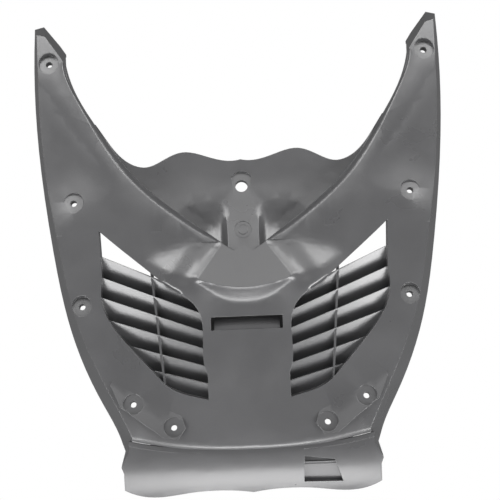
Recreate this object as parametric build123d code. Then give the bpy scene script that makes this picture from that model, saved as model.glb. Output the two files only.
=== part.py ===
from build123d import *
import math
import os

# Scooter front inner panel: one moulded shell with two horns, a nose, two louvred vents
# and a stepped apron. Millimetres. It is shaped in the panel's own frame, X to the right,
# Y from the rider's side into the panel and Z up along it, with the origin midway between
# the two lower side screws, and then leaned to the attitude that it has on the scooter.

# Attitude and wall
lean = 15.0
wall = 2.8

# Crowned skin
plan_radius = 1500.0
side_radius = 5000.0
crown_height = 60.0
skin_depth = 150.0
surface_tolerance = 0.02
mitre_limit = 0.2
roll_margin = 5.0
roll_lead = 0.12
least_roll = 0.6
inner_roll = 0.6
body_front = -46.0
draft_front = 4.0
body_back = 80.0
cut_length = 260.0

# Side flange: crease at the face, free edge at the back
crease_plane = 14.0
flange_back = 44.0
horn_flange_back = 40.0
skirt_bottom = -235.0

# Nose
nose_tip_height = 17.8
nose_tip_rise = 20.0
nose_slope = 0.38
nose_top_half = 30.0
nose_top_height = 62.4
nose_bottom_half = 52.0
nose_bottom_height = 27.8
nose_side_slope = 0.36
nose_under_slope = 1.25
scoop_bottom = -0.5
scoop_tip_half = 57.0
scoop_tip_height = 27.0
shoulder_rise = 15.0
shoulder_half = 125.0
shoulder_peak = 60.0
shoulder_top = 78.0
shoulder_bottom = -45.0
scoop_blend = 5.0
flank_blend = 2.0
flank_margin = 2.0
facet_margin = 1.5
foot_blend = 5.0
nose_reach = 95.0
nose_fade = 45.0

# Saddle plate between the horns
neck_extra_slope = 0.06
plate_curl = 0.0025
plate_bow = 8.0
plate_bow_width = 50.0
plate_limit = 180.0
plate_blend = 12.0
plate_drop = 0.7

# Gutters beside the neck, between it and the ridge
neck_half = 13.0
neck_side = 14.0
neck_top = 128.0
gutter_start = 72.0
gutter_sink = 7.5
gutter_lead = 1.3
gutter_near = 42.0
gutter_far = 95.0

# Saddle: the ridge where the horns and the face roll back to the plate
ridge_floor = 50.0
ridge_foot = (20.0, 62.0)
ridge_points = [(62.7, 93.5), (109.3, 132.5), (137.0, 165.0), (158.0, 196.6), (187.0, 250.0)]
ridge_top = (193.0, 273.0)
far_top = 345.0
far_side = 260.0
far_front = -56.0
past_axis = -14.0
ridge_rolls = [1.5, 7.5, 9.5, 9.5, 8.0, 5.5, 4.0, 3.5]
plate_top = [(0.0, 157.5), (31.0, 160.0), (66.0, 168.0), (86.0, 160.5), (107.0, 153.0), (121.0, 156.5), (136.0, 168.0)]
plate_top_end = [(151.0, 188.0), (180.0, 232.0), (205.0, 282.0)]

# Outer side: crease at the face and free edge of the flange, from the apron up to the horn
crease_apron = [(143.5, -188.0), (146.0, -181.0), (137.0, -163.0), (133.5, -149.0)]
crease_side = [(151.0, -111.0), (181.5, -40.0), (205.5, 65.0), (218.0, 200.0), (220.0, 302.0)]
crease_tip = [(211.0, 298.5), (196.0, 277.5), (191.0, 270.0)]
edge_apron = [(146.0, -189.0), (148.5, -182.0), (144.0, -167.0), (147.0, -158.0)]
edge_side = [(157.5, -133.0), (183.0, -76.0), (217.0, 64.0), (229.0, 236.0), (227.5, 316.0)]
edge_tip = [(217.0, 318.5), (199.5, 296.0), (190.0, 281.5)]

# Horn relief: the outer side of each horn steps down behind a slanted crease
relief_start = (126.0, 124.0)
relief_end = (203.6, 232.4)
relief_sink = 7.0
relief_run = 20.0
relief_grow = 70.0
relief_lead = 0.25

# Vent
vent_corner = (160.0, 83.5)
vent_upper = [(106.0, 37.0), (84.5, 20.3), (61.5, 3.6), (52.5, -8.5)]
vent_inner = [(48.7, -31.5), (45.2, -80.0), (45.6, -107.5)]
vent_lower = [(66.0, -102.3), (87.5, -93.0), (96.6, -84.6)]
vent_outer = [(107.0, -73.0), (132.7, -43.8), (152.5, -16.3), (158.2, 30.3)]
vent_frame_back = 24.0
lip_count = 7
first_lip_height = 6.7
lip_pitch = 19.15
lip_origin = 48.0
first_lip_angle = 23.7
lip_fan = 1.7
lip_setback = 0.8
slat_depth = 13.0
slat_wall = 2.6
slat_gap = 1.2
vent_reach = 175.0
rib_top = (103.5, 36.0)
rib_bottom = (93.0, -95.0)
rib_wall = 2.2
rib_setback = 3.5

# Slot below the nose and the tongue behind it
slot_half = 39.5
slot_top = -16.3
slot_bottom = -31.0
tongue_half = 36.4
tongue_top = -19.2
tongue_depth = 9.0
slot_pocket = 13.0

# Screws
screw_hole = 3.5
collar_wall = 3.0
collar_length = 9.0
pocket_radius = 11.2
pocket_floor = 4.5
side_screws = [(209.7, 272.0), (187.4, 115.3), (182.4, 0.0)]

# Pads with two counterbored screws each
pad_outline = [(151.5, -83.0), (129.3, -93.8), (116.4, -102.0), (88.0, -118.7)]
pad_back = [(76.0, -125.0), (72.0, -138.0), (80.0, -149.0), (96.0, -147.0)]
pad_tip = [(143.5, -111.5), (154.0, -88.0)]
pad_corner = 3.0
pad_drop = 7.5
pad_screws = [(129.0, -109.3), (85.0, -136.0)]
disc_radius = 11.3
disc_sink = 1.4

# Centre screw and the gate mark in the plate
centre_screw_height = 128.0
centre_hole = 6.9
seat_half = 11.0
seat_foot_half = 7.6
seat_reach = 15.5
seat_sink = 1.8
gate_height = 79.0
gate_ring = 9.6
gate_core = 5.5
gate_sink = 0.8
gate_reach = 8.0

# Step to the apron
step_points = [(0.0, -165.0), (57.0, -162.8), (119.0, -156.0), (150.0, -148.0)]
step_rolls = [9.0, 9.0, 9.0]
apron_depth = 15.0
apron_curl = 0.008
apron_drop = 62.0
apron_edge = [(0.0, -218.0), (50.0, -214.0), (66.0, -215.0), (98.0, -219.5), (145.0, -209.0)]

# Window in the right of the apron
window = [(58.0, -175.5), (92.0, -180.5), (101.0, -207.5), (57.5, -206.5)]
window_back = 38.0
window_shelf = 2.0


def base_depth(x, z):
    """Depth of the crowned face without its nose."""
    return x * x / (2 * plan_radius) + (z - crown_height) ** 2 / (2 * side_radius)


def soft_high(a, b, blend):
    return (a + b + math.sqrt((a - b) ** 2 + blend * blend)) / 2


def soft_low(a, b, blend):
    return -soft_high(-a, -b, blend)


def smooth_step(t):
    t = min(1.0, max(0.0, t))
    return t * t * (3 - 2 * t)


def facet_depth(z):
    """The flat upper facet of the nose, which runs on up the neck."""
    return -nose_tip_rise + nose_slope * (z - nose_tip_height)


def shoulder_height(x, z):
    """The low hill that carries the nose into the face on either side."""
    across = abs(x)
    if across < shoulder_peak:
        side = smooth_step(across / shoulder_peak) ** 1.5
    else:
        side = 1 - smooth_step((across - shoulder_peak) / (shoulder_half - shoulder_peak))
    if z > scoop_tip_height:
        up = 1 - smooth_step((z - scoop_tip_height) / (shoulder_top - scoop_tip_height))
    else:
        up = 1 - smooth_step((scoop_tip_height - z) / (scoop_tip_height - shoulder_bottom))
    return shoulder_rise * side * up


def flank_height(x, z):
    """A plane that falls away outwards from the slanted side of the nose facet."""
    run_x = nose_bottom_half - nose_top_half
    run_z = nose_bottom_height - nose_top_height
    length = math.hypot(run_x, run_z)
    from_x = abs(x) - nose_top_half
    from_z = z - nose_top_height
    down = (from_x * run_x + from_z * run_z) / length
    out = (from_z * run_x - from_x * run_z) / length
    top_rise = -facet_depth(nose_top_height)
    bottom_rise = -facet_depth(nose_bottom_height)
    return flank_margin + top_rise + (bottom_rise - top_rise) * down / length - nose_side_slope * out


def scoop_height(x, z):
    """The hollow under the nose, which rises from a curved rim."""
    share = (x / scoop_tip_half) ** 2
    rim = scoop_bottom + (scoop_tip_height - scoop_bottom) * share
    return shoulder_rise * share + nose_under_slope * (z - rim)


def face_depth(x, z):
    """Depth of the whole face, with the nose as a peak that the facet cuts flat."""
    rise = soft_high(scoop_height(x, z), shoulder_height(x, z), scoop_blend)
    rise = soft_low(rise, flank_height(x, z), flank_blend)
    rise = soft_low(rise, facet_margin - facet_depth(z), facet_margin)
    rise = soft_high(rise, 0.0, foot_blend)
    reach = math.hypot(x, z - nose_bottom_height) - nose_reach
    return base_depth(x, z) - rise * (1 - smooth_step(reach / nose_fade))


def plate_depth(x, z):
    """The saddle plate, which runs on from the neck and curls back to face the rider."""
    climb = z - nose_top_height
    centre = facet_depth(nose_top_height) + (nose_slope + neck_extra_slope) * climb
    if climb > 0:
        centre -= plate_curl * climb * climb
    return centre + plate_bow * x * x / (x * x + plate_bow_width**2)


def plate_cut_depth(x, z):
    """The same plate, dropped away above its top edge where only the horn walls go on."""
    past = soft_high(z - plate_limit, 0.0, plate_blend)
    return plate_depth(x, z - past) + plate_drop * past


def gutter_depth(x, z):
    """A surface that passes behind the plate only in the gutters beside the neck."""
    out = smooth_step((abs(x) - neck_half) / neck_side)
    near = 1 - smooth_step((abs(x) - gutter_near) / (gutter_far - gutter_near))
    low = 1 - smooth_step((z - gutter_start) / (neck_top - gutter_start))
    return plate_depth(x, z) + gutter_sink * out * near * low - gutter_lead


def spread(low, high, count):
    return [low + (high - low) * i / (count - 1) for i in range(count)]


def smooth_face(depth_at, across, heights):
    rows = [[(x, depth_at(x, z), z) for x in across] for z in heights]
    return Face.make_surface_from_array_of_points(rows, tol=surface_tolerance)


def shifted(points, amount):
    """Move a run of points to its left, with mitred corners."""
    moved = []
    for i, (x, z) in enumerate(points):
        before = points[max(i - 1, 0)]
        after = points[min(i + 1, len(points) - 1)]
        ways = []
        for start, end in ((before, (x, z)), ((x, z), after)):
            length = math.hypot(end[0] - start[0], end[1] - start[1])
            if length > 0:
                ways.append(((start[1] - end[1]) / length, (end[0] - start[0]) / length))
        mean_x = sum(way[0] for way in ways) / len(ways)
        mean_z = sum(way[1] for way in ways) / len(ways)
        size = max(mean_x**2 + mean_z**2, mitre_limit)
        moved.append((x + amount * mean_x / size, z + amount * mean_z / size))
    return moved


def at_depth(points, y):
    return [(x, y, z) for x, z in points]


def prism(curves, low, high):
    """Stand a flat outline, drawn at the depth low, up along the depth axis."""
    return extrude(make_face(curves), high - low, dir=(0, 1, 0))


def side_section(first, apron, side, tip, y):
    """Half of the outline at one depth, closed along the centre line."""
    start = at_depth([first] + apron, y)
    spline_points = at_depth([apron[-1]] + side, y)
    end = at_depth([side[-1]] + tip, y)
    floor = (0, y, skirt_bottom)
    return make_face(
        [
            Line(floor, start[0]),
            Polyline(*start),
            Spline(*spline_points),
            Polyline(*end),
            Line(end[-1], floor),
        ]
    )


def side_body(inset):
    """The drafted body inside the side flanges, from before the nose to behind the flange."""
    creases = [(crease_apron[0][0], skirt_bottom)] + crease_apron + crease_side + crease_tip
    edges = [(edge_apron[0][0], skirt_bottom)] + edge_apron + edge_side + edge_tip
    creases.append((0, creases[-1][1]))
    edges.append((0, edges[-1][1]))
    creases = shifted(creases, inset)
    edges = shifted(edges, inset)
    sections = []
    for y in (draft_front, body_back):
        share = (y - crease_plane) / (flange_back - crease_plane)
        row = [
            (c[0] + (e[0] - c[0]) * share, c[1] + (e[1] - c[1]) * share)
            for c, e in zip(creases, edges)
        ]
        first = row[0]
        apron = row[1 : 1 + len(crease_apron)]
        side = row[1 + len(crease_apron) : 1 + len(crease_apron) + len(crease_side)]
        tip = row[1 + len(crease_apron) + len(crease_side) :]
        sections.append(side_section(first, apron, side, tip, y))
    straight = extrude(sections[0], draft_front - body_front, dir=(0, -1, 0))
    return straight + loft(sections, ruled=True)


def ridge_path(inset):
    path = [(0, ridge_floor), ridge_foot] + ridge_points + [ridge_top, (ridge_top[0], far_top)]
    return at_depth(shifted(path, -inset), far_front)


def saddle_prism(inset):
    """The space between the horns, down to the ridge where the face rolls back."""
    rows = ridge_path(inset)
    last = len(ridge_points) + 2
    top = (past_axis, far_front, far_top)
    foot = (past_axis, far_front, rows[0][2])
    outline = [
        Line(foot, rows[0]),
        Line(rows[0], rows[1]),
        Spline(*rows[1 : last + 1]),
        Line(rows[last], rows[last + 1]),
        Line(rows[last + 1], top),
        Line(top, foot),
    ]
    return prism(outline, far_front, body_back)


def roll_section(point, along, radius, depth_at, inset):
    """The waste in front of a rolled edge at one point: the face lies to the right of the path."""
    side_x = along.Z
    side_z = -along.X
    size = math.hypot(side_x, side_z)
    side_x, side_z = side_x / size, side_z / size
    start = depth_at(point.X, point.Z) + inset
    reach = 2 * radius
    end = depth_at(point.X + side_x * reach, point.Z + side_z * reach) + inset
    tilt = math.atan2(end - start, reach)
    face_end = (radius * math.cos(tilt) - roll_lead, radius * math.sin(tilt) - roll_lead)
    wall_end = (-roll_lead, radius - roll_lead)
    beyond_face = (face_end[0] + roll_margin * math.sin(tilt), face_end[1] - roll_margin * math.cos(tilt))
    flat = [
        wall_end,
        (-roll_lead, -roll_lead),
        face_end,
        beyond_face,
        (-roll_margin, -roll_margin),
        (-roll_margin, wall_end[1]),
    ]
    p = [(point.X + side_x * a, start + b, point.Z + side_z * a) for a, b in flat]
    edge = Line(p[0], p[2]) if inset else Bezier(p[0], p[1], p[2])
    return make_face([edge, Polyline(*p[2:], p[0])])


def roll(path, radii, depth_at, inset):
    """A cutter that rounds the edge where the face meets a wall that runs straight back."""
    sections = []
    for i, radius in enumerate(radii):
        share = i / (len(radii) - 1)
        sections.append(roll_section(path @ share, path % share, radius, depth_at, inset))
    return loft(sections)


def in_front(face, inset):
    return extrude(face.moved(Location((0, inset, 0))), cut_length, dir=(0, -1, 0))


def slab(points, x_from, x_to):
    """A block of constant section, drawn as depth and height and run across the panel."""
    outline = Polyline(*[(x_from, y, z) for y, z in points], close=True)
    return extrude(make_face(outline), x_to - x_from, dir=(1, 0, 0))


def nose_cut(inset):
    """What lies in front of the flat facet of the nose."""
    low = scoop_bottom - nose_tip_rise
    high = nose_top_height + 4.0
    points = [
        (far_front, low),
        (facet_depth(low) + inset, low),
        (facet_depth(high) + inset, high),
        (far_front, high),
    ]
    return slab(points, past_axis, nose_bottom_half + 6.0)


def apron_cut(inset):
    """What lies in front of the apron, below the rolled lower edge of the face."""
    top = step_points[0][1]
    low = top - apron_drop
    near = apron_depth + inset
    curl = apron_curl * apron_drop**2
    profile = [
        Polyline((past_axis, far_front, low), (past_axis, far_front, crown_height), (past_axis, near, crown_height), (past_axis, near, top)),
        Bezier((past_axis, near, top), (past_axis, near, top - apron_drop / 2), (past_axis, near + curl, low)),
        Line((past_axis, near + curl, low), (past_axis, far_front, low)),
    ]
    front = extrude(make_face(profile), far_side, dir=(1, 0, 0))
    rows = at_depth(shifted(step_points, inset), far_front)
    end = rows[-1]
    below = prism(
        [
            Spline(*rows),
            Polyline(end, (far_side, far_front, end[2]), (far_side, far_front, low), (past_axis, far_front, low), (past_axis, far_front, rows[0][2]), rows[0]),
        ],
        far_front,
        body_back,
    )
    return front & below


def face_plane(first, second, third, inset):
    """A plane through three points given across, up and deep, facing into the panel."""
    a, b, c = (Vector(x, y + inset, z) for x, z, y in (first, second, third))
    normal = (b - a).cross(c - a).normalized()
    if normal.Y < 0:
        normal = -normal
    return Plane(origin=a, z_dir=normal)


def beyond(plane):
    return plane * Box(800, 800, 200, align=(Align.CENTER, Align.CENTER, Align.MIN))


def before(plane):
    return plane * Box(800, 800, 200, align=(Align.CENTER, Align.CENTER, Align.MAX))


def on_face(point):
    return (point[0], point[1], base_depth(*point))


def beside(start, end, distance):
    """The point that lies so far to the right of the line from start to end, off its end."""
    length = math.hypot(end[0] - start[0], end[1] - start[1])
    across = ((end[1] - start[1]) / length, (start[0] - end[0]) / length)
    return (end[0] + distance * across[0], end[1] + distance * across[1])


def relief_depth(x, z):
    """A surface that dives behind the face to the right of the relief's crease."""
    run_x = relief_end[0] - relief_start[0]
    run_z = relief_end[1] - relief_start[1]
    length = math.hypot(run_x, run_z)
    from_x = x - relief_start[0]
    from_z = z - relief_start[1]
    along = (from_x * run_x + from_z * run_z) / length
    right = (from_x * run_z - from_z * run_x) / length
    sink = relief_sink * smooth_step(along / relief_grow)
    return base_depth(x, z) + sink * math.tanh(right / relief_run) - relief_lead


def pad_plane(inset):
    start = pad_outline[0]
    end = pad_outline[-1]
    width = math.hypot(pad_tip[0][0] - pad_outline[1][0], pad_tip[0][1] - pad_outline[1][1])
    side = beside(end, start, width)
    first = on_face(start)
    second = on_face(end)
    return face_plane(first, second, (side[0], side[1], first[2] - pad_drop), inset)


def closed_shift(points, amount):
    return shifted([points[-1]] + points + [points[0]], amount)[1:-1]


def pad_body(inset):
    """The wedge that stands out of the face round the two lower screws."""
    points = closed_shift(pad_outline + pad_back + pad_tip, inset)
    outline = Polyline(*at_depth(points, far_front), close=True)
    return prism(outline, far_front, body_back) & beyond(pad_plane(inset))


def plane_depth(plane, x, z):
    """Depth at which a plane is met on the way into the panel."""
    normal = plane.z_dir
    start = plane.origin
    return start.Y - (normal.X * (x - start.X) + normal.Z * (z - start.Z)) / normal.Y


def screw_plane(x, y, z):
    """A seat square to the screws, which all go in level when the panel is in place."""
    slant = math.radians(lean)
    return Plane(origin=(x, y, z), x_dir=(1, 0, 0), z_dir=(0, math.cos(slant), -math.sin(slant)))


def drill(plane, radius, low, high):
    return plane * Pos(0, 0, low) * Cylinder(radius, high - low, align=(Align.CENTER, Align.CENTER, Align.MIN))


def seat_planes():
    """Each fixing of the right half: its seat and the radius of its recess."""
    seats = []
    for x, z in side_screws:
        seats.append((screw_plane(x, base_depth(x, z) + pocket_floor, z), pocket_radius))
    pad = pad_plane(0)
    for x, z in pad_screws:
        seats.append((screw_plane(x, plane_depth(pad, x, z) + disc_sink, z), disc_radius))
    return seats


def seat_shape(inset):
    """The recess round the centre screw, arched above and narrower below."""
    depth = plate_depth(0, centre_screw_height) + seat_sink + inset
    plane = screw_plane(0, depth, centre_screw_height)
    top = seat_reach - seat_half * 0.5 + inset
    half = seat_half + inset
    foot = seat_foot_half + inset
    low = -seat_reach - inset
    outline = [
        ThreePointArc((-half, -top, 0), (0, -seat_reach - inset, 0), (half, -top, 0)),
        Line((half, -top, 0), (foot, -low, 0)),
        Line((foot, -low, 0), (-foot, -low, 0)),
        Line((-foot, -low, 0), (-half, -top, 0)),
    ]
    block = extrude(make_face(outline), 60, dir=(0, 0, -1))
    return plane * block


def gate_mark(inset):
    """The ring sunk into the neck round the place where the plastic was let into the mould."""
    points = [(0, gate_height), (gate_ring, gate_height), (0, gate_height + gate_ring)]
    a, b, c = ((x, z, plate_depth(x, z)) for x, z in points)
    plane = face_plane(a, b, c, inset)
    return drill(plane, gate_ring + inset, -gate_reach, gate_sink) - drill(plane, gate_core - inset, -gate_reach, gate_sink)


def vent_curves(amount):
    points = [vent_corner] + vent_upper + vent_inner + vent_lower + vent_outer
    points = closed_shift(points, -amount)
    rows = at_depth(points, far_front)
    upper = 1 + len(vent_upper)
    inner = upper + len(vent_inner)
    lower = inner + len(vent_lower)
    return [
        Spline(*rows[: upper + 2]),
        Spline(*rows[upper + 1 : inner]),
        Spline(*rows[inner - 1 : lower]),
        Spline(*rows[lower - 1 :]),
        Line(rows[-1], rows[0]),
    ]


def vent_prism(amount, back):
    return prism(vent_curves(amount), far_front, back)


def rolled(radii, inset):
    share = inner_roll if inset else 1.0
    return [max((radius - inset) * share, least_roll) for radius in radii]


def ridge_line(inset):
    return Spline(*ridge_path(inset)[1 : len(ridge_points) + 3])


def step_line(inset):
    return Spline(*reversed(at_depth(shifted(step_points, inset), far_front)))


def form(inset):
    """The volume behind the panel's face, drawn in all round by the inset."""
    body = side_body(inset) & extrude(skin_face.moved(Location((0, inset, 0))), skin_depth, dir=(0, 1, 0))
    body -= nose_cut(inset)
    body -= saddle_prism(inset) & in_front(plate_face, inset)
    body -= saddle_prism(inset) & in_front(gutter_face, inset)
    body -= apron_cut(inset)
    body -= roll(ridge_line(inset), rolled(ridge_rolls, inset), face_depth, inset)
    body -= roll(step_line(inset), rolled(step_rolls, inset), base_depth, inset)
    body -= in_front(relief_face, inset)
    body += pad_body(inset)
    for plane, radius in seat_planes():
        body -= drill(plane, radius + inset, -60, inset)
        body -= drill(plane, screw_hole + inset, -60, collar_length if inset else skin_depth)
    body -= seat_shape(inset)
    centre = screw_plane(0, plate_depth(0, centre_screw_height), centre_screw_height)
    body -= drill(centre, centre_hole + inset, -60, collar_length if inset else skin_depth)
    body -= gate_mark(inset)
    body -= vent_prism(inset, vent_frame_back if inset else body_back)
    return body


def lip_line(index, depth, lower):
    """The line of a louvre lip, at a depth behind the face and so far below its own line."""
    slope = math.tan(math.radians(first_lip_angle - lip_fan * index))
    ends = []
    for x in (lip_origin - 12.0, vent_reach):
        z = first_lip_height - lip_pitch * index + (x - lip_origin) * slope - lower
        ends.append((x, base_depth(x, z) + depth, z))
    return Edge.make_line(*ends)


def louvres():
    """Slats that each start flush at a lip and fall back to behind the next lip below."""
    window = vent_prism(wall / 2, vent_frame_back)
    slats = Part()
    for index in range(lip_count - 1):
        front = lip_line(index, lip_setback, 0)
        back = lip_line(index + 1, lip_setback + slat_depth, slat_gap)
        slat = extrude(Face.make_surface_from_curves(front, back), slat_wall, dir=(0, 1, 0))
        slats += slat & window
    top, bottom = rib_top, rib_bottom
    strip = [
        (top[0] - rib_wall / 2, top[1]),
        (top[0] + rib_wall / 2, top[1]),
        (bottom[0] + rib_wall / 2, bottom[1]),
        (bottom[0] - rib_wall / 2, bottom[1]),
    ]
    front = base_depth(*rib_top) + rib_setback
    rib = prism(Polyline(*at_depth(strip, front), close=True), front, vent_frame_back)
    return slats + (rib & window)


def slot_block(grow, back):
    """The space of the slot, grown on all its edges, from before the face to a depth behind."""
    low = slot_bottom - grow
    high = slot_top + grow
    return slab([(far_front, low), (far_front, high), (back, high), (back, low)], past_axis, slot_half + grow)


def tongue():
    """The tongue that slopes back from the lower edge of the slot."""
    face = base_depth(0, slot_bottom)
    lap = wall
    points = [
        (face + 0.1, slot_bottom - lap),
        (face + 0.1, slot_bottom),
        (face + tongue_depth, tongue_top),
        (face + tongue_depth + wall, tongue_top),
        (face + 2 * wall, slot_bottom - lap),
    ]
    return slab(points, past_axis, tongue_half)


def slot_case():
    """The closed case behind the slot."""
    face = base_depth(0, slot_top)
    back = face + slot_pocket
    front = slab([(far_front, -99.0), (far_front, 0.0), (face + wall / 2, 0.0), (face + wall / 2, -99.0)], past_axis - 1, far_side)
    return slot_block(wall, back + wall) - slot_block(0, back) - front


def apron_trim():
    """What lies below the wavy lower edge of the apron."""
    rows = at_depth(apron_edge, far_front)
    end = rows[-1]
    floor = skirt_bottom - 5
    return prism(
        [
            Spline(*rows),
            Polyline(end, (far_side, far_front, end[2] + 20), (far_side, far_front, floor), (past_axis, far_front, floor), (past_axis, far_front, rows[0][2]), rows[0]),
        ],
        far_front,
        body_back,
    )


def saddle_gap():
    """The open space above the plate's wavy top edge, between the horn walls."""
    rows = at_depth(plate_top + plate_top_end, far_front)
    corner = (rows[-1][0], far_front, far_top)
    axis_top = (past_axis, far_front, far_top)
    axis_low = (past_axis, far_front, rows[0][2])
    above = prism([Spline(*rows), Polyline(rows[-1], corner, axis_top, axis_low, rows[0])], far_front, body_back)
    return above & saddle_prism(0)


def back_trim():
    flange = Pos(0, flange_back, 0) * Box(900, 200, 1200, align=(Align.CENTER, Align.MIN, Align.CENTER))
    horn = prism(Polyline(*at_depth([(past_axis, 150.0), (130.0, 150.0), (205.0, 262.0), (200.0, 283.0), (past_axis, 283.0)], horn_flange_back), close=True), horn_flange_back, body_back)
    return flange + horn


def beyond_axis():
    return Pos(far_side, 0, 0) * Box(2 * far_side, 900, 900)


def window_frame(panel):
    """The window in the right of the apron, with walls that turn in and a shelf across."""
    opening = prism(Polyline(*at_depth(window, far_front), close=True), far_front, body_back)
    outer = closed_shift(window, wall)
    ring = prism(Polyline(*at_depth(outer, far_front), close=True), far_front, window_back)
    ring -= opening
    ring -= apron_cut(0)
    low = window[2][1]
    high = window[1][1]
    shelf = slab(
        [
            (window_back - 3, low - 1),
            (window_back - 1, low - 1),
            (window_back - 11, high - 3),
            (window_back - 13, high - 3),
        ],
        window[0][0] - 1,
        window[2][0],
    )
    inside = prism(Polyline(*at_depth(closed_shift(window, wall / 2), far_front), close=True), far_front, window_back)
    return panel - opening + ring + (shelf & inside)


def half_panel():
    """The right half of the moulding, with its free edges cut and its louvres in."""
    shell = form(0) - form(wall)
    shell -= back_trim()
    shell -= saddle_gap()
    shell -= apron_trim()
    shell -= slot_block(0, body_back)
    return shell + louvres() + (slot_case() + tongue() & beyond_axis())


skin_face = smooth_face(
    face_depth,
    spread(-16, 128, 37) + spread(142, 240, 8),
    spread(-240, -70, 10) + spread(-56, 92, 38) + spread(108, 330, 12),
)
plate_face = smooth_face(plate_cut_depth, spread(-40, 232, 35), spread(36, 352, 40))
gutter_face = smooth_face(gutter_depth, spread(-20, 120, 36), spread(44, 140, 25))
relief_face = smooth_face(relief_depth, spread(90, 250, 21), spread(80, 340, 33))
half = half_panel()
panel = window_frame(half + mirror(half, about=Plane.YZ))
seat_depth = base_depth(*side_screws[-1]) + pocket_floor
panel = Rot(lean, 0, 0) * Pos(0, -seat_depth, 0) * panel

os.makedirs("parts", exist_ok=True)
export_step(panel, "parts/inner_panel.step")
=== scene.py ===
import math

import bpy
from mathutils import Matrix, Vector


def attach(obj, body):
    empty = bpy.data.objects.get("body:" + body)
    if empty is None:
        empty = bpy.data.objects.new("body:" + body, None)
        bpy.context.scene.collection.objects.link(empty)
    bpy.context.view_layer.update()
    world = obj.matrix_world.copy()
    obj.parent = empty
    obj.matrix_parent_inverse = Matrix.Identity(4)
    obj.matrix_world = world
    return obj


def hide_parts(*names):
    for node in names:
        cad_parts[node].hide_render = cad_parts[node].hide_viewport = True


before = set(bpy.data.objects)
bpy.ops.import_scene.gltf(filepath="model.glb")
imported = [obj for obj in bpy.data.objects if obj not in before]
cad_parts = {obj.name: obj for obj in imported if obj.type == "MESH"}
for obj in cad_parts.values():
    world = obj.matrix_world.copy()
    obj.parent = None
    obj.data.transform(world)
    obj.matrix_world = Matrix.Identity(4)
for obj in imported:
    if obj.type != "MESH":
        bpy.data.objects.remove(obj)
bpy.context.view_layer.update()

bl_info = {
    "name": "Scooter front inner panel",
    "version": (1, 0, 0),
    "blender": (4, 5, 0),
    "location": "3D View > Sidebar > Inner panel",
    "description": "Finishes the moulded inner panel of a scooter's front and sets up its studio",
    "category": "Object",
}

PANEL_NODE = "inner_panel"
SHELL_NAME = "panel_shell"

# The panel's top leans back towards the rider by this angle.
LEAN = math.radians(15.0)
# How far the seats of the lower side screws lie behind the panel's reference plane.
SEAT_DEPTH = 0.015951
# Thickness of the moulded wall.
WALL = 0.0028
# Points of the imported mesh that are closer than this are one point.
MERGE_DISTANCE = 0.000005
# Most rounds of halving the mesh's long edges.
REFINE_ROUNDS = 5

# The crowned face is least deep at this height, and these lengths set how it curves across and up.
CROWN_HEIGHT = 0.060
CROWN_ACROSS = 3.0
CROWN_UP = 10.0

# Where the nose is shaped: half its width, its lowest and highest points and its greatest depth.
NOSE_HALF = 0.090
NOSE_LOW = 0.005
NOSE_HIGH = 0.080
NOSE_DEEPEST = 0.012
# The nose's flanks fall back fully between these heights, less the fade at each end.
FLANK_LOW = 0.012
FLANK_HIGH = 0.078
FLANK_END_FADE = 0.016
# How far from the facet the flanks reach, and the fades outwards and in depth.
FLANK_REACH = 0.037
FLANK_OUTER_FADE = 0.032
FLANK_DEPTH_FADE = 0.010
# The share of the nose's own height that the flanks can fall by.
FLANK_MOST = 0.8
# The mesh is cut along the facet's sides between these heights.
CREASE_LOW = 0.022
CREASE_HIGH = 0.068
# The part of the flanks that is smoothed: distances from the facet, greatest height, and rounds.
EASE_START = 0.0015
EASE_END = 0.04
EASE_HIGH = 0.060
EASE_ROUNDS = 8

# Heights of the line where the face steps back to the apron, read across from the middle.
STEP_LINE = ((0.0, -0.165), (0.057, -0.1628), (0.119, -0.156), (0.150, -0.148))
# The soft lamps: each one's turn about the panel's middle, slant from square on, and share of the power.
LAMPS = (
    ("right", 0.0, 66.0, 0.3),
    ("high_right", 50.0, 54.0, 1.9),
    ("top", 90.0, 37.0, 0.45),
    ("high_left", 130.0, 54.0, 1.9),
    ("left", 180.0, 66.0, 0.3),
    ("low_left", 225.0, 65.0, 2.6),
    ("bottom", 270.0, 74.0, 1.6),
    ("low_right", 315.0, 65.0, 3.1),
)
# The crest where the horns and the face roll back to the saddle, across and up.
RIDGE = (
    (0.020, 0.0620),
    (0.0627, 0.0935),
    (0.085, 0.1112),
    (0.1093, 0.1325),
    (0.124, 0.1477),
    (0.137, 0.165),
    (0.158, 0.1966),
    (0.187, 0.250),
)
# Where the ridge is rolled: distances from the middle, heights, depth, and how far past the crest.
RIDGE_INNER = 0.024
RIDGE_OUTER, RIDGE_HIGH = RIDGE[-1]
RIDGE_LOW = 0.06
RIDGE_DEEPEST = 0.024
RIDGE_BEHIND = 0.012
# The roll starts and ends at these distances from the middle, each over the length of its fade.
ROLL_INNER = 0.026
ROLL_INNER_FADE = 0.018
ROLL_OUTER = 0.185
ROLL_OUTER_FADE = 0.030
# On the return wall the roll fades from this depth behind the face.
ROLL_DEPTH = 0.004
ROLL_DEPTH_FADE = 0.016

# The strips that close the step: start and length across, place under the step's line, height and depth.
STRIP_START = 0.058
STRIP_LENGTH = 0.079
STRIP_BELOW = 0.00495
STRIP_HEIGHT = 0.0054
STRIP_FRONT = 0.01505
STRIP_THICKNESS = 0.00275
# Cuts across each side of a strip, which let it follow a curve.
STRIP_CUTS = 15
# The window in the apron: its upper corners, across and up.
WINDOW_TOP = ((0.058, -0.1755), (0.092, -0.1805))
# The shade that closes the window's top: overlap at its side, length, rise past the top, foot and depth.
SHADE_OVERLAP = 0.001
SHADE_LENGTH = 0.042
SHADE_ABOVE = 0.0014
SHADE_FOOT = -0.187
SHADE_FRONT = 0.026
SHADE_THICKNESS = 0.002

# How far the plastic's roughness strays from its mean.
ROUGHNESS_STRAY = 0.05
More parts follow.
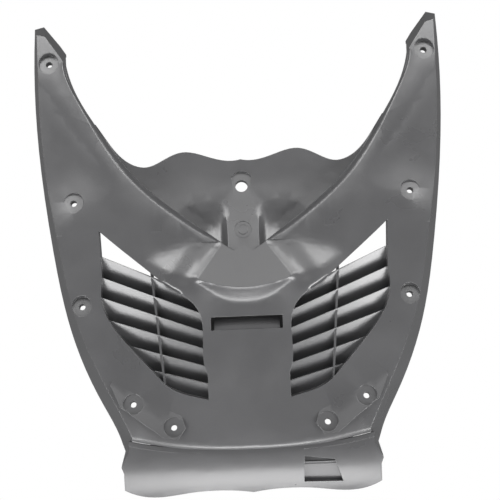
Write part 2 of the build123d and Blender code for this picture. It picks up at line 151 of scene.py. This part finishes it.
# Height of the panel's middle, which the lamps are turned to.
PANEL_MIDDLE = 0.03
# The lens and the place in front of the panel that give the photograph's view.
CAMERA_LENS = 85.1
CAMERA_ACROSS = 0.0067
CAMERA_HEIGHT = 0.0559


def place_on_panel(across, deep, up):
    """A point given in the panel's own frame, in metres, as it lies in the row's frame."""
    deep = deep - SEAT_DEPTH
    return Vector((
        across,
        deep * math.cos(LEAN) - up * math.sin(LEAN),
        deep * math.sin(LEAN) + up * math.cos(LEAN),
    ))


# One metre straight back through the panel.
BACK = place_on_panel(0.0, 1.0, 0.0) - place_on_panel(0.0, 0.0, 0.0)


def read_on_panel(point):
    """Where a point in the row's frame lies across, behind and up the panel's own frame."""
    deep = point.y * math.cos(LEAN) + point.z * math.sin(LEAN) + SEAT_DEPTH
    return point.x, deep, point.z * math.cos(LEAN) - point.y * math.sin(LEAN)


def smooth_step(share):
    """A share held between 0 and 1, with a soft start and a soft end."""
    share = max(0.0, min(1.0, share))
    return share * share * (3.0 - 2.0 * share)


def fade_in(value, start, length):
    """0 up to the start, and 1 from the fade's length past it."""
    return smooth_step((value - start) / length)


def fade_out(value, end, length):
    """1 up to the fade's length before the end, and 0 past the end."""
    return smooth_step((end - value) / length)


def curve_through(points, across):
    """Height at a place across, on the smooth curve through four points."""
    height = 0.0
    for place, value in points:
        for other, _ in points:
            if other != place:
                value *= (across - other) / (place - other)
        height += value
    return height


def below_ridge(across, up):
    """Distance from the crest of the ridge, counted down and outwards on the face."""
    place = Vector((abs(across), up))
    least = math.inf
    for start, end in zip(RIDGE, RIDGE[1:]):
        start = Vector(start)
        run = Vector(end) - start
        share = max(0.0, min(1.0, (place - start).dot(run) / run.length_squared))
        apart = place - start - run * share
        if apart.length < abs(least):
            least = math.copysign(apart.length, apart.x * run.y - apart.y * run.x)
    return least


def face_depth(across, up):
    """Depth of the crowned face without its nose."""
    return across * across / CROWN_ACROSS + (up - CROWN_HEIGHT) ** 2 / CROWN_UP


class PanelShape(bpy.types.PropertyGroup):
    facet_top: bpy.props.FloatProperty(
        name="Facet top",
        description="Height of the upper edge of the nose's flat facet",
        unit="LENGTH",
        default=0.0624,
    )
    facet_bottom: bpy.props.FloatProperty(
        name="Facet bottom",
        description="Height of the lower edge of the nose's flat facet",
        unit="LENGTH",
        default=0.0278,
    )
    facet_top_half: bpy.props.FloatProperty(
        name="Facet top half width",
        description="Half the width of the facet at its upper edge",
        unit="LENGTH",
        min=0.0,
        default=0.025,
    )
    facet_bottom_half: bpy.props.FloatProperty(
        name="Facet bottom half width",
        description="Half the width of the facet at its lower edge",
        unit="LENGTH",
        min=0.0,
        default=0.051,
    )
    flank_slope: bpy.props.FloatProperty(
        name="Flank slope",
        description="How steeply the nose falls back beside its facet",
        min=0.0,
        max=3.0,
        default=0.3,
    )
    ridge_width: bpy.props.FloatProperty(
        name="Ridge width",
        description="Width of the band beside the saddle that rolls back",
        unit="LENGTH",
        min=0.0,
        default=0.010,
    )
    ridge_drop: bpy.props.FloatProperty(
        name="Ridge drop",
        description="How far the band beside the saddle rolls back at the crest",
        unit="LENGTH",
        min=0.0,
        default=0.0035,
    )
    edge_length: bpy.props.FloatProperty(
        name="Edge length",
        description="Longest edge of the mesh where the nose and the ridge are shaped",
        unit="LENGTH",
        min=0.001,
        default=0.003,
    )
    smooth_angle: bpy.props.FloatProperty(
        name="Smooth angle",
        description="Edges sharper than this stay crisp",
        subtype="ANGLE",
        default=math.radians(28.0),
    )


class PanelFinish(bpy.types.PropertyGroup):
    colour: bpy.props.FloatVectorProperty(
        name="Colour",
        description="Colour of the dyed polypropylene",
        subtype="COLOR",
        size=3,
        min=0.0,
        max=1.0,
        default=(0.072, 0.072, 0.0745),
    )
    roughness: bpy.props.FloatProperty(
        name="Roughness",
        description="Mean roughness of the grained face",
        min=0.0,
        max=1.0,
        subtype="FACTOR",
        default=0.3,
    )
    gloss: bpy.props.FloatProperty(
        name="Gloss",
        description="Index of refraction, which sets how strongly the face mirrors the lamps",
        min=1.0,
        max=2.5,
        default=1.85,
    )
    grain_size: bpy.props.FloatProperty(
        name="Grain size",
        description="Distance between the pits of the moulded grain",
        unit="LENGTH",
        min=0.0001,
        max=0.01,
        default=0.0009,
    )
    grain_height: bpy.props.FloatProperty(
        name="Grain height",
        description="Depth of the moulded grain",
        unit="LENGTH",
        min=0.0,
        max=0.001,
        default=0.00004,
    )
    edge_radius: bpy.props.FloatProperty(
        name="Edge radius",
        description="Radius that catches the light along moulded edges",
        unit="LENGTH",
        min=0.0,
        max=0.005,
        default=0.0008,
    )


class StudioLight(bpy.types.PropertyGroup):
    fill: bpy.props.FloatProperty(
        name="Fill",
        description="Strength of the even light from all round",
        min=0.0,
        max=4.0,
        default=0.2,
    )
    lamp_power: bpy.props.FloatProperty(
        name="Lamp power",
        description="Power of a soft lamp whose share is one",
        unit="POWER",
        min=0.0,
        max=500.0,
        default=3.4,
    )
    lamp_distance: bpy.props.FloatProperty(
        name="Lamp distance",
        description="Distance of the lamps from the panel",
        unit="LENGTH",
        min=0.3,
        max=5.0,
        default=1.2,
    )
    lamp_size: bpy.props.FloatProperty(
        name="Lamp size",
        description="Side of each square lamp",
        unit="LENGTH",
        min=0.1,
        max=3.0,
        default=0.62,
    )
    floor_height: bpy.props.FloatProperty(
        name="Floor height",
        description="Height of the floor under the panel's reference point",
        unit="LENGTH",
        default=-1.25,
    )
    camera_distance: bpy.props.FloatProperty(
        name="Camera distance",
        description="Distance of the camera from the panel's face",
        unit="LENGTH",
        min=0.3,
        max=5.0,
        default=1.3,
    )
    camera_roll: bpy.props.FloatProperty(
        name="Camera roll",
        description="Tilt of the camera about its own line of sight",
        subtype="ANGLE",
        default=math.radians(2.33),
    )


def need(condition, message):
    """Stop with a plain message if something that a step relies on is missing."""
    if not condition:
        raise RuntimeError(message)


def node_maker(tree):
    """Adds nodes to a tree, each with its inputs set from values or from other nodes' outputs.

    An input goes by its name, or by i and its number where several have one name.
    """
    tree.nodes.clear()

    def add(kind, settings=None, **inputs):
        node = tree.nodes.new(kind)
        for name, value in (settings or {}).items():
            setattr(node, name, value)
        for name, value in inputs.items():
            numbered = name[0] == "i" and name[1:].isdigit()
            socket = node.inputs[int(name[1:]) if numbered else name.replace("_", " ")]
            if isinstance(value, bpy.types.NodeSocket):
                tree.links.new(value, socket)
            else:
                socket.default_value = value
        return node

    return add


def spread(add, value, low, high, least, most):
    """A value that runs from low to high, spread over the range from least to most."""
    node = add("ShaderNodeMapRange", Value=value, From_Min=low, From_Max=high, To_Min=least, To_Max=most)
    return node.outputs[0]


def moulded_plastic(finish):
    """Dark dyed polypropylene with a fine grain, soft patches of tone and edges that catch the light."""
    material = bpy.data.materials.new("moulded_polypropylene")
    material.use_nodes = True
    add = node_maker(material.node_tree)
    place = add("ShaderNodeTexCoord").outputs["Object"]
    pitch = 1.0 / finish.grain_size
    grain = add("ShaderNodeTexNoise", Vector=place, Scale=pitch, Detail=3.0, Roughness=0.55)
    flow = add("ShaderNodeTexNoise", Vector=place, Scale=14.0, Detail=4.0, Roughness=0.6, Distortion=0.4)
    tone = spread(add, flow.outputs["Fac"], low=0.3, high=0.7, least=0.93, most=1.07)
    pits = spread(add, grain.outputs["Fac"], low=0.35, high=0.65, least=0.96, most=1.04)
    both = add("ShaderNodeMath", {"operation": "MULTIPLY"}, i0=tone, i1=pits)
    base = tuple(finish.colour)
    colour = add("ShaderNodeVectorMath", {"operation": "SCALE"}, i0=base, Scale=both.outputs[0])
    smoothest = finish.roughness - ROUGHNESS_STRAY
    roughest = finish.roughness + ROUGHNESS_STRAY
    rough = spread(add, flow.outputs["Fac"], low=0.25, high=0.75, least=smoothest, most=roughest)
    edge = add("ShaderNodeBevel", {"samples": 6}, Radius=finish.edge_radius)
    bump = add(
        "ShaderNodeBump",
        Strength=0.6,
        Distance=finish.grain_height,
        Height=grain.outputs["Fac"],
        Normal=edge.outputs["Normal"],
    )
    shader = add(
        "ShaderNodeBsdfPrincipled",
        Base_Color=colour.outputs["Vector"],
        Roughness=rough,
        Normal=bump.outputs["Normal"],
        IOR=finish.gloss,
    )
    add("ShaderNodeOutputMaterial", Surface=shader.outputs["BSDF"])
    return material


def edit(piece):
    """Open one piece, and no other, for editing."""
    bpy.ops.object.select_all(action="DESELECT")
    piece.select_set(True)
    bpy.context.view_layer.objects.active = piece
    bpy.ops.object.mode_set(mode="EDIT")


def stop_editing():
    """Go back from editing, so that the mesh can be read."""
    bpy.ops.object.mode_set(mode="OBJECT")


def refine(piece, near, longest):
    """Halve the edges that are too long for shaping, in the part of the mesh that near accepts."""
    for _ in range(REFINE_ROUNDS):
        points = piece.data.vertices
        long_edges = []
        for edge in piece.data.edges:
            start, end = (points[i].co for i in edge.vertices)
            if (end - start).length > longest and near(*read_on_panel((start + end) / 2)):
                long_edges.append(edge.index)
        if not long_edges:
            return
        edit(piece)
        bpy.ops.mesh.select_mode(type="EDGE")
        bpy.ops.mesh.select_all(action="DESELECT")
        stop_editing()
        for index in long_edges:
            piece.data.edges[index].select = True
        edit(piece)
        bpy.ops.mesh.subdivide(number_cuts=1)
        bpy.ops.mesh.select_all(action="SELECT")
        bpy.ops.mesh.quads_convert_to_tris()
        stop_editing()


def closing_strip(name, place):
    """A closed strip, whose points run from 0 to 1 along, across and through it before they are placed."""
    bpy.ops.object.select_all(action="DESELECT")
    bpy.ops.mesh.primitive_cube_add(size=1.0)
    strip = bpy.context.object
    strip.name = name
    edit(strip)
    bpy.ops.mesh.select_all(action="SELECT")
    bpy.ops.mesh.subdivide(number_cuts=STRIP_CUTS)
    stop_editing()
    for vertex in strip.data.vertices:
        vertex.co = place(*(value + 0.5 for value in vertex.co))
    edit(strip)
    bpy.ops.mesh.select_all(action="SELECT")
    bpy.ops.mesh.normals_make_consistent(inside=False)
    stop_editing()
    return strip


class PANEL_OT_shape_panel(bpy.types.Operator):
    """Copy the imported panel, cut its nose to a facet, roll its ridge and close its step and window"""

    bl_idname = "inner_panel.shape_panel"
    bl_label = "Shape panel"

    def execute(self, context):
        need(PANEL_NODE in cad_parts, "the packed model has no panel")
        shape = context.scene.panel_shape
        shell = self.merged_copy(context)
        self.cut_nose(shell, shape)
        self.roll_ridge(shell, shape)
        self.close_step(shell)
        bpy.ops.object.select_all(action="DESELECT")
        shell.select_set(True)
        context.view_layer.objects.active = shell
        bpy.ops.object.shade_smooth_by_angle(angle=shape.smooth_angle)
        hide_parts(PANEL_NODE)
        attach(shell, "root")
        return {"FINISHED"}

    def merged_copy(self, context):
        """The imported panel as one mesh, without its doubled points."""
        shell = bpy.data.objects.new(SHELL_NAME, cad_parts[PANEL_NODE].data.copy())
        context.scene.collection.objects.link(shell)
        edit(shell)
        bpy.ops.mesh.select_all(action="SELECT")
        bpy.ops.mesh.remove_doubles(threshold=MERGE_DISTANCE)
        stop_editing()
        if shell.data.has_custom_normals:
            bpy.ops.mesh.customdata_custom_splitnormals_clear()
        return shell

    def cut_nose(self, shell, shape):
        """Let the nose fall back on both sides of its flat facet."""
        def near(across, deep, up):
            return abs(across) < NOSE_HALF and NOSE_LOW < up < NOSE_HIGH and deep < NOSE_DEEPEST

        def flank(across, deep, up):
            beyond = abs(across) - self.half_width(shape, up)
            return near(across, deep, up) and EASE_START < beyond < EASE_END and FLANK_LOW < up < EASE_HIGH

        refine(shell, near, shape.edge_length)
        self.crease_facet(shell, shape, near)
        shell.data.update()
        for vertex in shell.data.vertices:
            across, deep, up = read_on_panel(vertex.co)
            if not near(across, deep, up):
                continue
            if vertex.normal.dot(BACK) > 0.0:
                deep -= WALL
            beyond = abs(across) - self.half_width(shape, up)
            room = face_depth(across, up) - deep
            if beyond <= 0.0 or room <= 0.0:
                continue
            fade = fade_in(up, FLANK_LOW, FLANK_END_FADE) * fade_out(up, FLANK_HIGH, FLANK_END_FADE)
            outwards = fade_out(beyond, FLANK_REACH, FLANK_OUTER_FADE)
            fade *= outwards * fade_out(deep, NOSE_DEEPEST, FLANK_DEPTH_FADE)
            most = FLANK_MOST * room
            fall = most * (1.0 - math.exp(-shape.flank_slope * beyond / most))
            vertex.co += BACK * fall * fade
        self.ease(shell, flank, EASE_ROUNDS)

    def roll_ridge(self, shell, shape):
        """Roll the band beside the saddle back, more and more towards the crest."""
        def near(across, deep, up):
            beside = RIDGE_INNER < abs(across) < RIDGE_OUTER and RIDGE_LOW < up < RIDGE_HIGH
            if not beside or deep > RIDGE_DEEPEST:
                return False
            return -RIDGE_BEHIND < below_ridge(across, up) < shape.ridge_width

        refine(shell, near, shape.edge_length)
        for vertex in shell.data.vertices:
            across, deep, up = read_on_panel(vertex.co)
            if not near(across, deep, up):
                continue
            share = 1.0 - max(0.0, below_ridge(across, up)) / shape.ridge_width
            fade = fade_in(abs(across), ROLL_INNER, ROLL_INNER_FADE)
            fade *= fade_out(abs(across), ROLL_OUTER, ROLL_OUTER_FADE)
            fade *= 1.0 - fade_in(deep - face_depth(across, up), ROLL_DEPTH, ROLL_DEPTH_FADE)
            vertex.co += BACK * shape.ridge_drop * share * share * fade

    def half_width(self, shape, up):
        """Half the width of the nose's facet at a height."""
        down = (shape.facet_top - up) / (shape.facet_top - shape.facet_bottom)
        down = max(0.0, min(1.0, down))
        return shape.facet_top_half + (shape.facet_bottom_half - shape.facet_top_half) * down

    def crease_facet(self, shell, shape, near):
        """Cut the mesh along the facet's slanted sides, so that they come out straight."""
        for side in (1.0, -1.0):
            high = place_on_panel(side * shape.facet_top_half, 0.0, shape.facet_top)
            low = place_on_panel(side * shape.facet_bottom_half, 0.0, shape.facet_bottom)

            def beside(across, deep, up):
                return near(across, deep, up) and side * across > 0.0 and CREASE_LOW < up < CREASE_HIGH

            self.pick(shell, beside)
            bpy.ops.mesh.bisect(plane_co=high, plane_no=(low - high).cross(BACK).normalized())
            bpy.ops.mesh.select_all(action="SELECT")
            bpy.ops.mesh.quads_convert_to_tris()
            stop_editing()

    def pick(self, shell, wanted):
        """Open the shell for editing with the faces selected whose middle is wanted."""
        edit(shell)
        bpy.ops.mesh.select_mode(type="FACE")
        bpy.ops.mesh.select_all(action="DESELECT")
        stop_editing()
        for face in shell.data.polygons:
            face.select = wanted(*read_on_panel(face.center))
        edit(shell)

    def ease(self, shell, wanted, times):
        """Smooth the faces whose middle is wanted."""
        self.pick(shell, wanted)
        bpy.ops.mesh.vertices_smooth(factor=0.5, repeat=times)
        stop_editing()

    def close_step(self, shell):
        """Close the slits at the step's ends and the top of the apron's window with strips."""
        strips = []
        for name, side in (("right", 1.0), ("left", -1.0)):

            def along_step(along, over, through):
                across = STRIP_START + STRIP_LENGTH * along
                up = curve_through(STEP_LINE, across) - STRIP_BELOW + STRIP_HEIGHT * over
                return place_on_panel(side * across, STRIP_FRONT + STRIP_THICKNESS * through, up)

            strips.append(closing_strip("step_" + name, along_step))

        def over_window(along, over, through):
            (start, high), (end, low) = WINDOW_TOP
            across = start - SHADE_OVERLAP + SHADE_LENGTH * along
            top = high + SHADE_ABOVE + (low - high) * (across - start) / (end - start)
            deep = SHADE_FRONT + SHADE_THICKNESS * through
            return place_on_panel(across, deep, SHADE_FOOT + (top - SHADE_FOOT) * over)

        strips.append(closing_strip("window_shade", over_window))
        bpy.ops.object.select_all(action="DESELECT")
        for strip in strips:
            strip.select_set(True)
        shell.select_set(True)
        bpy.context.view_layer.objects.active = shell
        bpy.ops.object.join()


class PANEL_OT_finish_panel(bpy.types.Operator):
    """Give the moulded panel its grained plastic"""

    bl_idname = "inner_panel.finish_panel"
    bl_label = "Finish panel"

    def execute(self, context):
        need(SHELL_NAME in bpy.data.objects, "the panel's shell hasn't been made")
        plastic = moulded_plastic(context.scene.panel_finish)
        for panel in (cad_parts[PANEL_NODE], bpy.data.objects[SHELL_NAME]):
            panel.data.materials.clear()
            panel.data.materials.append(plastic)
        return {"FINISHED"}


def aim(thing, place, target):
    """Stand a lamp at a place, turned to its target."""
    thing.location = place
    thing.rotation_euler = (target - place).to_track_quat("-Z", "Y").to_euler()


class PANEL_OT_set_stage(bpy.types.Operator):
    """Lay the floor, set the soft lamps and stand the camera square to the panel's face"""

    bl_idname = "inner_panel.set_stage"
    bl_label = "Set stage"

    def execute(self, context):
        light = context.scene.studio_light
        self.lay_floor(light)
        self.light_world(context.scene, light)
        self.hang_lamps(context.scene, light)
        self.stand_camera(context.scene, light)
        context.scene.view_settings.view_transform = "Standard"
        return {"FINISHED"}

    def lay_floor(self, light):
        """A pale paper floor."""
        bpy.ops.object.select_all(action="DESELECT")
        bpy.ops.mesh.primitive_plane_add(size=8.0, location=(0.0, 0.0, light.floor_height))
        floor = bpy.context.object
        floor.name = "floor"
        paper = bpy.data.materials.new("floor_paper")
        paper.use_nodes = True
        add = node_maker(paper.node_tree)
        place = add("ShaderNodeTexCoord").outputs["Object"]
        fibre = add("ShaderNodeTexNoise", Vector=place, Scale=60.0, Detail=4.0)
        shade = spread(add, fibre.outputs["Fac"], low=0.3, high=0.7, least=0.80, most=0.84)
        shader = add("ShaderNodeBsdfPrincipled", Base_Color=shade, Roughness=0.85)
        add("ShaderNodeOutputMaterial", Surface=shader.outputs["BSDF"])
        floor.data.materials.append(paper)

    def light_world(self, scene, light):
        """A weak even light, which the camera sees as plain white."""
        world = bpy.data.worlds.new("studio")
        world.use_nodes = True
        scene.world = world
        add = node_maker(world.node_tree)
        path = add("ShaderNodeLightPath")
        seen = add("ShaderNodeBackground", Color=(1.0, 1.0, 1.0, 1.0), Strength=1.0)
        room = add("ShaderNodeBackground", Color=(1.0, 1.0, 1.0, 1.0), Strength=light.fill)
        plain = add(
            "ShaderNodeMath",
            {"operation": "MAXIMUM"},
            i0=path.outputs["Is Camera Ray"],
            i1=path.outputs["Is Transmission Ray"],
        )
        mix = add("ShaderNodeMixShader", Fac=plain.outputs[0], i1=room.outputs[0], i2=seen.outputs[0])
        add("ShaderNodeOutputWorld", Surface=mix.outputs[0])

    def hang_lamps(self, scene, light):
        """Hang the soft lamps round the panel's middle."""
        middle = place_on_panel(0.0, 0.0, PANEL_MIDDLE)
        for name, turn, slant, share in LAMPS:
            turn, slant = math.radians(turn), math.radians(slant)
            lamp = bpy.data.lights.new("lamp_" + name, "AREA")
            lamp.energy = light.lamp_power * share
            lamp.size = light.lamp_size
            lit = bpy.data.objects.new("lamp_" + name, lamp)
            scene.collection.objects.link(lit)
            reach = light.lamp_distance * math.sin(slant)
            place = place_on_panel(
                reach * math.cos(turn),
                -light.lamp_distance * math.cos(slant),
                PANEL_MIDDLE + reach * math.sin(turn),
            )
            aim(lit, place, middle)

    def stand_camera(self, scene, light):
        """Stand the camera square to the panel's face, rolled as the photograph is."""
        camera = bpy.data.objects.new("camera", bpy.data.cameras.new("camera"))
        scene.collection.objects.link(camera)
        camera.data.sensor_width = 36.0
        camera.data.lens = CAMERA_LENS
        camera.data.clip_start = 0.05
        camera.data.clip_end = 20.0
        forward = Vector((0.0, math.cos(LEAN), math.sin(LEAN)))
        right = Vector((1.0, 0.0, 0.0))
        up = right.cross(forward)
        roll = light.camera_roll
        side = right * math.cos(roll) - up * math.sin(roll)
        top = right * math.sin(roll) + up * math.cos(roll)
        turn = Matrix((side, top, -forward)).transposed().to_4x4()
        place = place_on_panel(CAMERA_ACROSS, -light.camera_distance, CAMERA_HEIGHT)
        camera.matrix_world = Matrix.Translation(place) @ turn
        scene.camera = camera


class PANEL_PT_tools(bpy.types.Panel):
    """Lists the steps that finish the panel and set its stage"""

    bl_idname = "PANEL_PT_tools"
    bl_label = "Inner panel"
    bl_space_type = "VIEW_3D"
    bl_region_type = "UI"
    bl_category = "Inner panel"

    def draw(self, context):
        layout = self.layout
        for group in (context.scene.panel_shape, context.scene.panel_finish, context.scene.studio_light):
            for name in group.bl_rna.properties.keys():
                if name not in {"rna_type", "name"}:
                    layout.prop(group, name)
        for step in STEPS:
            layout.operator(step.bl_idname)


STEPS = (PANEL_OT_shape_panel, PANEL_OT_finish_panel, PANEL_OT_set_stage)
CLASSES = (PanelShape, PanelFinish, StudioLight) + STEPS + (PANEL_PT_tools,)


def register():
    for kind in CLASSES:
        bpy.utils.register_class(kind)
    bpy.types.Scene.panel_shape = bpy.props.PointerProperty(type=PanelShape)
    bpy.types.Scene.panel_finish = bpy.props.PointerProperty(type=PanelFinish)
    bpy.types.Scene.studio_light = bpy.props.PointerProperty(type=StudioLight)


def unregister():
    del bpy.types.Scene.studio_light
    del bpy.types.Scene.panel_finish
    del bpy.types.Scene.panel_shape
    for kind in reversed(CLASSES):
        bpy.utils.unregister_class(kind)


def main():
    register()
    bpy.ops.inner_panel.shape_panel()
    bpy.ops.inner_panel.finish_panel()
    bpy.ops.inner_panel.set_stage()


if __name__ == "__main__":
    main()
